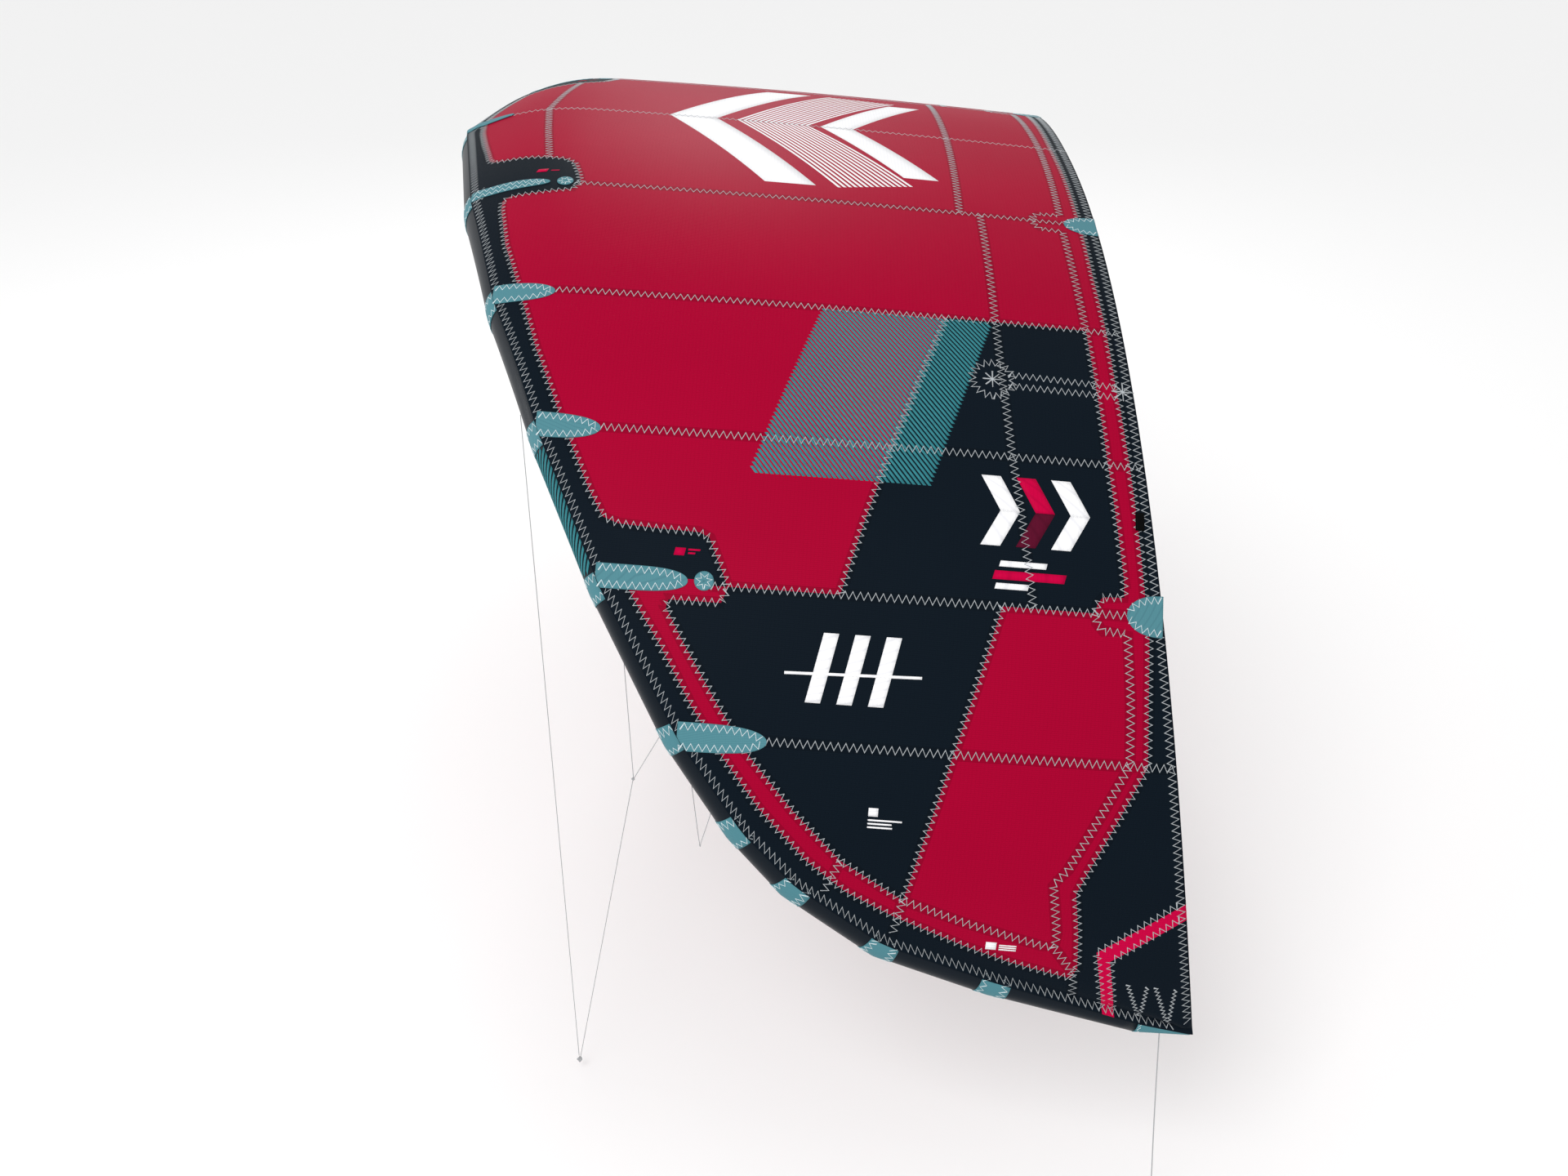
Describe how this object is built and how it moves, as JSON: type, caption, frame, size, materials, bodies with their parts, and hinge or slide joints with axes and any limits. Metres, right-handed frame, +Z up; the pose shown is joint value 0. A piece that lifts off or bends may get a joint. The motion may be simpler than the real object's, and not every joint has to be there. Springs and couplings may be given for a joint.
{
  "type": "inflatable kitesurf kite",
  "caption": "Arched inflatable kite wing with a tubular leading edge, chordwise struts, sewn canopy, bridles and back-line pigtails.",
  "frame": {"origin": "at the centre of the kite, above the front of the leading edge tube, where the arch's own line meets the wing's front plane", "axes": "+X along the span towards the left wing, -Y the way the leading edge faces, +Z up, in the flying attitude"},
  "size_m": [4.3438, 2.1023, 2.5496],
  "materials": {
    "edge_fabric": "satin coated polyester",
    "canopy_red": "ripstop",
    "canopy_navy": "ripstop",
    "tape_teal": "satin coated polyester",
    "bladder_film": "clear film",
    "line_cord": "braided cord",
    "hose_rubber": "translucent",
    "hard_grey": "moulded",
    "hard_black": "moulded"
  },
  "bodies": {
    "wing": {"leading_edge_tube_centre": "edge_fabric", "leading_edge_tube_1_left": "edge_fabric", "leading_edge_tube_1_right": "edge_fabric", "leading_edge_tube_2_left": "edge_fabric", "leading_edge_tube_2_right": "edge_fabric", "leading_edge_tube_3_left": "edge_fabric", "leading_edge_tube_3_right": "edge_fabric", "leading_edge_tube_4_left": "edge_fabric", "leading_edge_tube_4_right": "edge_fabric", "leading_edge_tube_5_left": "edge_fabric", "leading_edge_tube_5_right": "edge_fabric", "tip_cap_left": "tape_teal", "tip_cap_right": "tape_teal", "leading_edge_bladder": "bladder_film", "canopy_centre": "canopy_red", "canopy_panel_1_left": "canopy_red", "canopy_panel_1_right": "canopy_red", "canopy_panel_2_left": "canopy_red", "canopy_panel_2_right": "canopy_red", "canopy_panel_3_left": "canopy_red", "canopy_panel_3_right": "canopy_red", "canopy_panel_4_left": "canopy_red", "canopy_panel_4_right": "canopy_red", "canopy_tip_left": "canopy_navy", "canopy_tip_right": "canopy_navy", "inner_strut_left": "edge_fabric", "inner_strut_right": "edge_fabric", "outer_strut_left": "edge_fabric", "outer_strut_right": "edge_fabric", "inner_strut_bladder_left": "bladder_film", "inner_strut_bladder_right": "bladder_film", "outer_strut_bladder_left": "bladder_film", "outer_strut_bladder_right": "bladder_film", "one_pump_hose_inner_left": "hose_rubber", "one_pump_hose_inner_right": "hose_rubber", "one_pump_hose_outer_left": "hose_rubber", "one_pump_hose_outer_right": "hose_rubber", "valve_body": "hard_grey"},
    "valve_insert": {"valve_insert": "hard_black"},
    "valve_cap": {"valve_cap": "hard_black"},
    "bridle_left": {"bridle_line_front_left": "line_cord", "bridle_line_upper_inner_left": "line_cord", "bridle_line_upper_outer_left": "line_cord", "bridle_line_lower_left": "line_cord", "front_line_knot_left": "line_cord"},
    "back_line_left": {"back_pigtail_left": "line_cord", "back_line_knot_left": "line_cord"},
    "bungee_left": {"tip_bungee_left": "line_cord"},
    "clip_inner_left": {"one_pump_clip_inner_left": "hard_grey"},
    "clip_outer_left": {"one_pump_clip_outer_left": "hard_grey"},
    "bridle_right": {"bridle_line_front_right": "line_cord", "bridle_line_upper_inner_right": "line_cord", "bridle_line_upper_outer_right": "line_cord", "bridle_line_lower_right": "line_cord", "front_line_knot_right": "line_cord"},
    "back_line_right": {"back_pigtail_right": "line_cord", "back_line_knot_right": "line_cord"},
    "bungee_right": {"tip_bungee_right": "line_cord"},
    "clip_inner_right": {"one_pump_clip_inner_right": "hard_grey"},
    "clip_outer_right": {"one_pump_clip_outer_right": "hard_grey"}
  },
  "joints": [
    {"name": "valve_insert_turn", "type": "hinge", "parent": "wing", "child": "valve_insert", "pos_m": [0.22715, 0.19955, -0.23883], "axis": [-0.1492, 0.7606, -0.6318], "range_deg": [0, 90]},
    {"name": "valve_cap_hinge", "type": "hinge", "parent": "wing", "child": "valve_cap", "pos_m": [0.24671, 0.20884, -0.24437], "axis": [0.0785, -0.6278, -0.7744], "range_deg": [0, 150]},
    {"name": "bridle_swing_left", "type": "hinge", "parent": "wing", "child": "bridle_left", "pos_m": [1.334, 0.334, -0.4705], "axis": [0.5755, 0.4383, -0.6904], "range_deg": [-12, 12]},
    {"name": "back_line_swing_left", "type": "hinge", "parent": "wing", "child": "back_line_left", "pos_m": [2.133, 2.009, -1.866], "axis": [1, 0, 0], "range_deg": [-25, 25]},
    {"name": "bungee_swing_left", "type": "hinge", "parent": "wing", "child": "bungee_left", "pos_m": [1.912, 0.782, -1.178], "axis": [0.2367, 0.6412, -0.7299], "range_deg": [-20, 20]},
    {"name": "clip_inner_left_lever", "type": "hinge", "parent": "wing", "child": "clip_inner_left", "pos_m": [0.47625, 0.28483, -0.21087], "axis": [0.9812, 0.1599, -0.1078], "range_deg": [0, 60]},
    {"name": "clip_outer_left_lever", "type": "hinge", "parent": "wing", "child": "clip_outer_left", "pos_m": [1.60343, 0.66352, -0.697], "axis": [0.6435, 0.3646, -0.673], "range_deg": [0, 60]},
    {"name": "bridle_swing_right", "type": "hinge", "parent": "wing", "child": "bridle_right", "pos_m": [-1.334, 0.334, -0.4705], "axis": [0.5755, -0.4383, 0.6904], "range_deg": [-12, 12]},
    {"name": "back_line_swing_right", "type": "hinge", "parent": "wing", "child": "back_line_right", "pos_m": [-2.133, 2.009, -1.866], "axis": [1, 0, 0], "range_deg": [-25, 25]},
    {"name": "bungee_swing_right", "type": "hinge", "parent": "wing", "child": "bungee_right", "pos_m": [-1.912, 0.782, -1.178], "axis": [0.2367, -0.6412, 0.7299], "range_deg": [-20, 20]},
    {"name": "clip_inner_right_lever", "type": "hinge", "parent": "wing", "child": "clip_inner_right", "pos_m": [-0.47625, 0.28483, -0.21087], "axis": [0.9812, -0.1599, 0.1078], "range_deg": [0, 60]},
    {"name": "clip_outer_right_lever", "type": "hinge", "parent": "wing", "child": "clip_outer_right", "pos_m": [-1.60343, 0.66352, -0.697], "axis": [0.6435, -0.3646, 0.673], "range_deg": [0, 60]}
  ]
}
